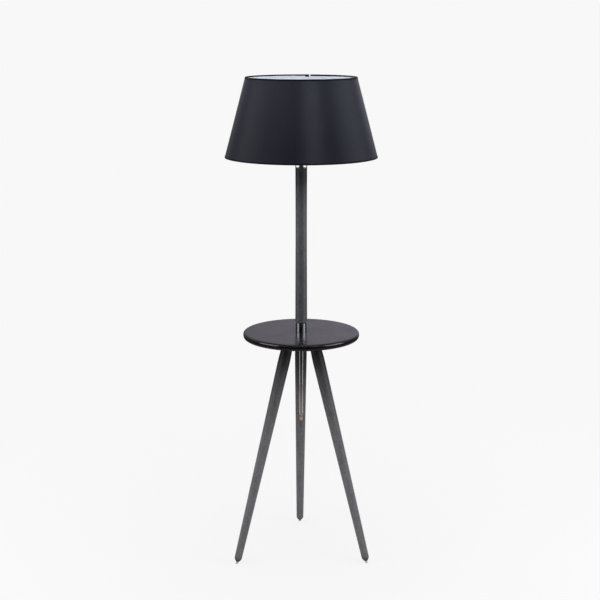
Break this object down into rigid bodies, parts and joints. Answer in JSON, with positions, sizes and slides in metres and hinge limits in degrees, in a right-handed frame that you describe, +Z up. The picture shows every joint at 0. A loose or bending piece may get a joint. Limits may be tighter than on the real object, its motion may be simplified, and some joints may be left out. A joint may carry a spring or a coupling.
{
  "type": "floor lamp with table",
  "caption": "Floor lamp with a tapered round fabric shade on a turned wooden post that rises through a small round table on splayed tapered legs.",
  "frame": {"origin": "on the floor, at the lamp axis, which is the middle of the three feet", "axes": "+Z up along the post; +Y to the rear, along the rear leg; +X to the right as seen from the front"},
  "size_m": [0.45, 0.4595, 1.4587],
  "materials": {
    "grey_wood": "grey-stained hardwood, satin, fine open grain",
    "table_lacquer": "charcoal lacquer on board, semi-gloss",
    "polished_steel": "polished plated steel",
    "zinc_steel": "zinc-plated steel",
    "black_steel": "black powder coat",
    "white_wire": "white epoxy-coated wire",
    "brass": "turned brass",
    "black_plastic": "black thermoplastic, matt",
    "pale_nylon": "natural nylon",
    "foot_nylon": "white nylon",
    "black_fibre": "black fibre",
    "shade_fabric": "fine woven charcoal cloth on a stiff backing",
    "edge_tape": "black edge tape",
    "shade_lining": "white stiff film",
    "bulb_white": "white plastic",
    "bulb_opal": "opal plastic, satin",
    "nickel": "nickel-plated brass",
    "board_aluminium": "white-coated aluminium board"
  },
  "bodies": {
    "stand": {"tabletop": "table_lacquer", "leg_front_left": "grey_wood", "leg_front_right": "grey_wood", "leg_rear": "grey_wood", "post": "grey_wood", "leg_hub": "black_steel", "hub_screws": "zinc_steel", "leg_bolts": "zinc_steel", "hub_washer": "zinc_steel", "hub_nut": "zinc_steel", "lamp_pipe": "zinc_steel", "glide_front_left": "foot_nylon", "glide_front_right": "foot_nylon", "glide_rear": "foot_nylon", "glide_pins": "zinc_steel", "tube_coupler": "zinc_steel", "cord_tube": "polished_steel", "tube_end_cap": "polished_steel", "outlet_nipple": "brass", "outlet_bushing": "pale_nylon", "collar": "polished_steel", "collar_seal": "black_fibre", "collar_spacer": "black_fibre", "post_cap": "black_steel", "lock_nut": "black_steel", "lampholder_base": "black_plastic", "lampholder_skirt": "black_plastic", "lampholder_insert": "black_plastic", "shade_clamp_ring": "black_plastic", "stem_screw": "zinc_steel", "screw_shell": "brass", "centre_contact": "brass", "terminal_screws": "brass", "switch_contact": "brass", "bulb_screw_cap": "nickel", "bulb_insulator": "black_plastic", "bulb_contact": "nickel", "bulb_housing": "bulb_white", "bulb_led_board": "board_aluminium", "bulb_diffuser": "bulb_opal"},
    "shade": {"shade_cover": "shade_fabric", "shade_liner": "shade_lining", "shade_top_ring": "white_wire", "shade_bottom_ring": "white_wire", "shade_top_tape": "edge_tape", "shade_bottom_tape": "edge_tape", "fitter_ring": "white_wire", "carrier_arms": "white_wire"},
    "switch": {"switch_bar": "black_plastic", "switch_bridge": "brass"}
  },
  "joints": [
    {"name": "shade_turn", "type": "hinge", "parent": "stand", "child": "shade", "pos_m": [0, 0, 1.2328], "axis": [0, 0, 1], "continuous": true},
    {"name": "switch_push", "type": "slide", "parent": "stand", "child": "switch", "axis": [1, 0, 0], "range_m": [0, 0.005]}
  ]
}
